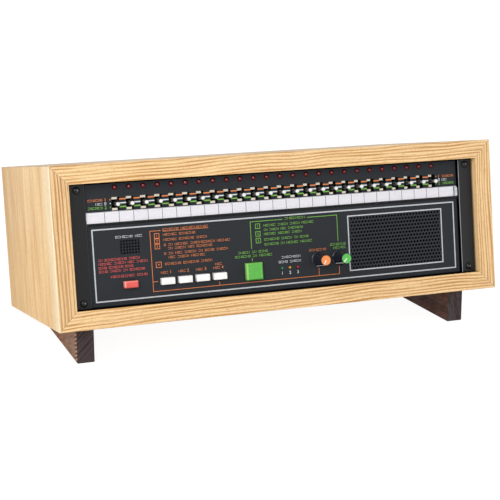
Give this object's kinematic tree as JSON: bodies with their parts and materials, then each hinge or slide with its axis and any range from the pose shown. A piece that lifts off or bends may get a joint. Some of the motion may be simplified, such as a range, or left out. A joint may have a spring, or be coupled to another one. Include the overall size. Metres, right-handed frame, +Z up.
{
  "type": "desk intercom console",
  "caption": "Desk intercom: rack-width front with lever switches, lamps, push buttons, volume knobs and a loudspeaker grille, set in a mitred oak cabinet on wedge feet.",
  "frame": {"origin": "middle of the box round the whole console, on the table plane under its feet", "axes": "+X to the right along the front, +Y to the rear (the front faces -Y), +Z up; the cabinet is tipped back 9.11 degrees on its feet"},
  "size_m": [0.5264, 0.3206, 0.2206],
  "materials": {
    "oak": "clear satin lacquer over light oak veneer",
    "walnut": "oiled dark walnut, saw marks on the end grain",
    "black_steel": "satin black paint",
    "zinc_screw": "bright zinc plate",
    "zinc_steel": "zinc plate",
    "trim_black": "satin black",
    "screw_black": "black oxide",
    "panel_charcoal": "fine matt charcoal paint with printed lines",
    "clear_plastic": "clear polished plastic",
    "card_white": "white paper card with grey dividers",
    "lamp_red": "moulded dark red lens",
    "level_lamp_lens": "moulded green, yellow and red lenses",
    "black_nylon": "moulded black nylon",
    "lever_black": "gloss black moulding with a white ball",
    "button_red": "semi-gloss moulding",
    "button_white": "semi-gloss moulding",
    "button_green": "semi-gloss moulding",
    "knob_black": "gloss black moulding",
    "cap_orange": "semi-gloss moulding with a white pointer",
    "cap_green": "semi-gloss moulding with a white pointer",
    "speaker_black": "black stamped steel and paper cone",
    "mic_grey": "soft black rubber boot",
    "board_green": "green glass-fibre laminate",
    "terminal_black": "dark moulded phenolic with plated screws"
  },
  "bodies": {
    "cabinet": {"cabinet_top_board": "oak", "cabinet_bottom_board": "oak", "cabinet_left_board": "oak", "cabinet_right_board": "oak", "cabinet_back_panel": "black_steel", "left_wedge_foot": "walnut", "right_wedge_foot": "walnut", "wood_screws": "zinc_screw", "rack_rails": "zinc_steel", "trim_rails": "trim_black", "panel_screws": "screw_black", "switch_bank_panel": "panel_charcoal", "control_panel": "panel_charcoal", "label_strip_holder": "clear_plastic", "label_strip_card": "card_white", "station_lamps": "lamp_red", "lamp_holders": "black_nylon", "lever_switch_bodies": "black_nylon", "level_lamps": "level_lamp_lens", "push_switch_bodies": "black_nylon", "potentiometers": "zinc_steel", "loudspeaker": "speaker_black", "microphone_capsule": "mic_grey", "circuit_boards": "board_green", "terminal_strip": "terminal_black"},
    "station_lever_01": {"station_lever_01": "lever_black"},
    "station_lever_02": {"station_lever_02": "lever_black"},
    "station_lever_03": {"station_lever_03": "lever_black"},
    "station_lever_04": {"station_lever_04": "lever_black"},
    "station_lever_05": {"station_lever_05": "lever_black"},
    "station_lever_06": {"station_lever_06": "lever_black"},
    "station_lever_07": {"station_lever_07": "lever_black"},
    "station_lever_08": {"station_lever_08": "lever_black"},
    "station_lever_09": {"station_lever_09": "lever_black"},
    "station_lever_10": {"station_lever_10": "lever_black"},
    "station_lever_11": {"station_lever_11": "lever_black"},
    "station_lever_12": {"station_lever_12": "lever_black"},
    "station_lever_13": {"station_lever_13": "lever_black"},
    "station_lever_14": {"station_lever_14": "lever_black"},
    "station_lever_15": {"station_lever_15": "lever_black"},
    "station_lever_16": {"station_lever_16": "lever_black"},
    "station_lever_17": {"station_lever_17": "lever_black"},
    "station_lever_18": {"station_lever_18": "lever_black"},
    "station_lever_19": {"station_lever_19": "lever_black"},
    "station_lever_20": {"station_lever_20": "lever_black"},
    "station_lever_21": {"station_lever_21": "lever_black"},
    "station_lever_22": {"station_lever_22": "lever_black"},
    "station_lever_23": {"station_lever_23": "lever_black"},
    "station_lever_24": {"station_lever_24": "lever_black"},
    "station_lever_25": {"station_lever_25": "lever_black"},
    "emergency_button": {"emergency_button": "button_red"},
    "source_button_1": {"source_button_1": "button_white"},
    "source_button_2": {"source_button_2": "button_white"},
    "source_button_3": {"source_button_3": "button_white"},
    "all_rooms_button": {"all_rooms_button": "button_white"},
    "talk_button": {"talk_button": "button_green"},
    "program_knob": {"program_knob": "knob_black", "program_knob_cap": "cap_orange"},
    "monitor_knob": {"monitor_knob": "knob_black", "monitor_knob_cap": "cap_green"}
  },
  "joints": [
    {"name": "station_lever_01_throw", "type": "hinge", "parent": "cabinet", "child": "station_lever_01", "pos_m": [-0.1905, -0.11123, 0.17267], "axis": [1, 0, 0], "range_deg": [-9.5, 9.5]},
    {"name": "station_lever_02_throw", "type": "hinge", "parent": "cabinet", "child": "station_lever_02", "pos_m": [-0.17463, -0.11123, 0.17267], "axis": [1, 0, 0], "range_deg": [-9.5, 9.5]},
    {"name": "station_lever_03_throw", "type": "hinge", "parent": "cabinet", "child": "station_lever_03", "pos_m": [-0.15875, -0.11123, 0.17267], "axis": [1, 0, 0], "range_deg": [-9.5, 9.5]},
    {"name": "station_lever_04_throw", "type": "hinge", "parent": "cabinet", "child": "station_lever_04", "pos_m": [-0.14288, -0.11123, 0.17267], "axis": [1, 0, 0], "range_deg": [-9.5, 9.5]},
    {"name": "station_lever_05_throw", "type": "hinge", "parent": "cabinet", "child": "station_lever_05", "pos_m": [-0.127, -0.11123, 0.17267], "axis": [1, 0, 0], "range_deg": [-9.5, 9.5]},
    {"name": "station_lever_06_throw", "type": "hinge", "parent": "cabinet", "child": "station_lever_06", "pos_m": [-0.11113, -0.11123, 0.17267], "axis": [1, 0, 0], "range_deg": [-9.5, 9.5]},
    {"name": "station_lever_07_throw", "type": "hinge", "parent": "cabinet", "child": "station_lever_07", "pos_m": [-0.09525, -0.11123, 0.17267], "axis": [1, 0, 0], "range_deg": [-9.5, 9.5]},
    {"name": "station_lever_08_throw", "type": "hinge", "parent": "cabinet", "child": "station_lever_08", "pos_m": [-0.07938, -0.11123, 0.17267], "axis": [1, 0, 0], "range_deg": [-9.5, 9.5]},
    {"name": "station_lever_09_throw", "type": "hinge", "parent": "cabinet", "child": "station_lever_09", "pos_m": [-0.0635, -0.11123, 0.17267], "axis": [1, 0, 0], "range_deg": [-9.5, 9.5]},
    {"name": "station_lever_10_throw", "type": "hinge", "parent": "cabinet", "child": "station_lever_10", "pos_m": [-0.04763, -0.11123, 0.17267], "axis": [1, 0, 0], "range_deg": [-9.5, 9.5]},
    {"name": "station_lever_11_throw", "type": "hinge", "parent": "cabinet", "child": "station_lever_11", "pos_m": [-0.03175, -0.11123, 0.17267], "axis": [1, 0, 0], "range_deg": [-9.5, 9.5]},
    {"name": "station_lever_12_throw", "type": "hinge", "parent": "cabinet", "child": "station_lever_12", "pos_m": [-0.01588, -0.11123, 0.17267], "axis": [1, 0, 0], "range_deg": [-9.5, 9.5]},
    {"name": "station_lever_13_throw", "type": "hinge", "parent": "cabinet", "child": "station_lever_13", "pos_m": [0, -0.11123, 0.17267], "axis": [1, 0, 0], "range_deg": [-9.5, 9.5]},
    {"name": "station_lever_14_throw", "type": "hinge", "parent": "cabinet", "child": "station_lever_14", "pos_m": [0.01588, -0.11123, 0.17267], "axis": [1, 0, 0], "range_deg": [-9.5, 9.5]},
    {"name": "station_lever_15_throw", "type": "hinge", "parent": "cabinet", "child": "station_lever_15", "pos_m": [0.03175, -0.11123, 0.17267], "axis": [1, 0, 0], "range_deg": [-9.5, 9.5]},
    {"name": "station_lever_16_throw", "type": "hinge", "parent": "cabinet", "child": "station_lever_16", "pos_m": [0.04763, -0.11123, 0.17267], "axis": [1, 0, 0], "range_deg": [-9.5, 9.5]},
    {"name": "station_lever_17_throw", "type": "hinge", "parent": "cabinet", "child": "station_lever_17", "pos_m": [0.0635, -0.11123, 0.17267], "axis": [1, 0, 0], "range_deg": [-9.5, 9.5]},
    {"name": "station_lever_18_throw", "type": "hinge", "parent": "cabinet", "child": "station_lever_18", "pos_m": [0.07938, -0.11123, 0.17267], "axis": [1, 0, 0], "range_deg": [-9.5, 9.5]},
    {"name": "station_lever_19_throw", "type": "hinge", "parent": "cabinet", "child": "station_lever_19", "pos_m": [0.09525, -0.11123, 0.17267], "axis": [1, 0, 0], "range_deg": [-9.5, 9.5]},
    {"name": "station_lever_20_throw", "type": "hinge", "parent": "cabinet", "child": "station_lever_20", "pos_m": [0.11113, -0.11123, 0.17267], "axis": [1, 0, 0], "range_deg": [-9.5, 9.5]},
    {"name": "station_lever_21_throw", "type": "hinge", "parent": "cabinet", "child": "station_lever_21", "pos_m": [0.127, -0.11123, 0.17267], "axis": [1, 0, 0], "range_deg": [-9.5, 9.5]},
    {"name": "station_lever_22_throw", "type": "hinge", "parent": "cabinet", "child": "station_lever_22", "pos_m": [0.14288, -0.11123, 0.17267], "axis": [1, 0, 0], "range_deg": [-9.5, 9.5]},
    {"name": "station_lever_23_throw", "type": "hinge", "parent": "cabinet", "child": "station_lever_23", "pos_m": [0.15875, -0.11123, 0.17267], "axis": [1, 0, 0], "range_deg": [-9.5, 9.5]},
    {"name": "station_lever_24_throw", "type": "hinge", "parent": "cabinet", "child": "station_lever_24", "pos_m": [0.17463, -0.11123, 0.17267], "axis": [1, 0, 0], "range_deg": [-9.5, 9.5]},
    {"name": "station_lever_25_throw", "type": "hinge", "parent": "cabinet", "child": "station_lever_25", "pos_m": [0.1905, -0.11123, 0.17267], "axis": [1, 0, 0], "range_deg": [-9.5, 9.5]},
    {"name": "emergency_button_press", "type": "slide", "parent": "cabinet", "child": "emergency_button", "axis": [0, 0.9874, -0.1582], "range_m": [0, 0.0035], "stiffness_N_per_m": 300, "springref_m": -0.003},
    {"name": "source_button_1_press", "type": "slide", "parent": "cabinet", "child": "source_button_1", "axis": [0, 0.9874, -0.1582], "range_m": [0, 0.0035], "stiffness_N_per_m": 300, "springref_m": -0.003},
    {"name": "source_button_2_press", "type": "slide", "parent": "cabinet", "child": "source_button_2", "axis": [0, 0.9874, -0.1582], "range_m": [0, 0.0035], "stiffness_N_per_m": 300, "springref_m": -0.003},
    {"name": "source_button_3_press", "type": "slide", "parent": "cabinet", "child": "source_button_3", "axis": [0, 0.9874, -0.1582], "range_m": [0, 0.0035], "stiffness_N_per_m": 300, "springref_m": -0.003},
    {"name": "all_rooms_button_press", "type": "slide", "parent": "cabinet", "child": "all_rooms_button", "axis": [0, 0.9874, -0.1582], "range_m": [0, 0.0035], "stiffness_N_per_m": 300, "springref_m": -0.003},
    {"name": "talk_button_press", "type": "slide", "parent": "cabinet", "child": "talk_button", "axis": [0, 0.9874, -0.1582], "range_m": [0, 0.0035], "stiffness_N_per_m": 300, "springref_m": -0.003},
    {"name": "program_knob_turn", "type": "hinge", "parent": "cabinet", "child": "program_knob", "pos_m": [0.0416, -0.13763, 0.09639], "axis": [0, 0.9874, -0.1582], "range_deg": [0, 300]},
    {"name": "monitor_knob_turn", "type": "hinge", "parent": "cabinet", "child": "monitor_knob", "pos_m": [0.067, -0.13763, 0.09639], "axis": [0, 0.9874, -0.1582], "range_deg": [-14, 286]}
  ]
}
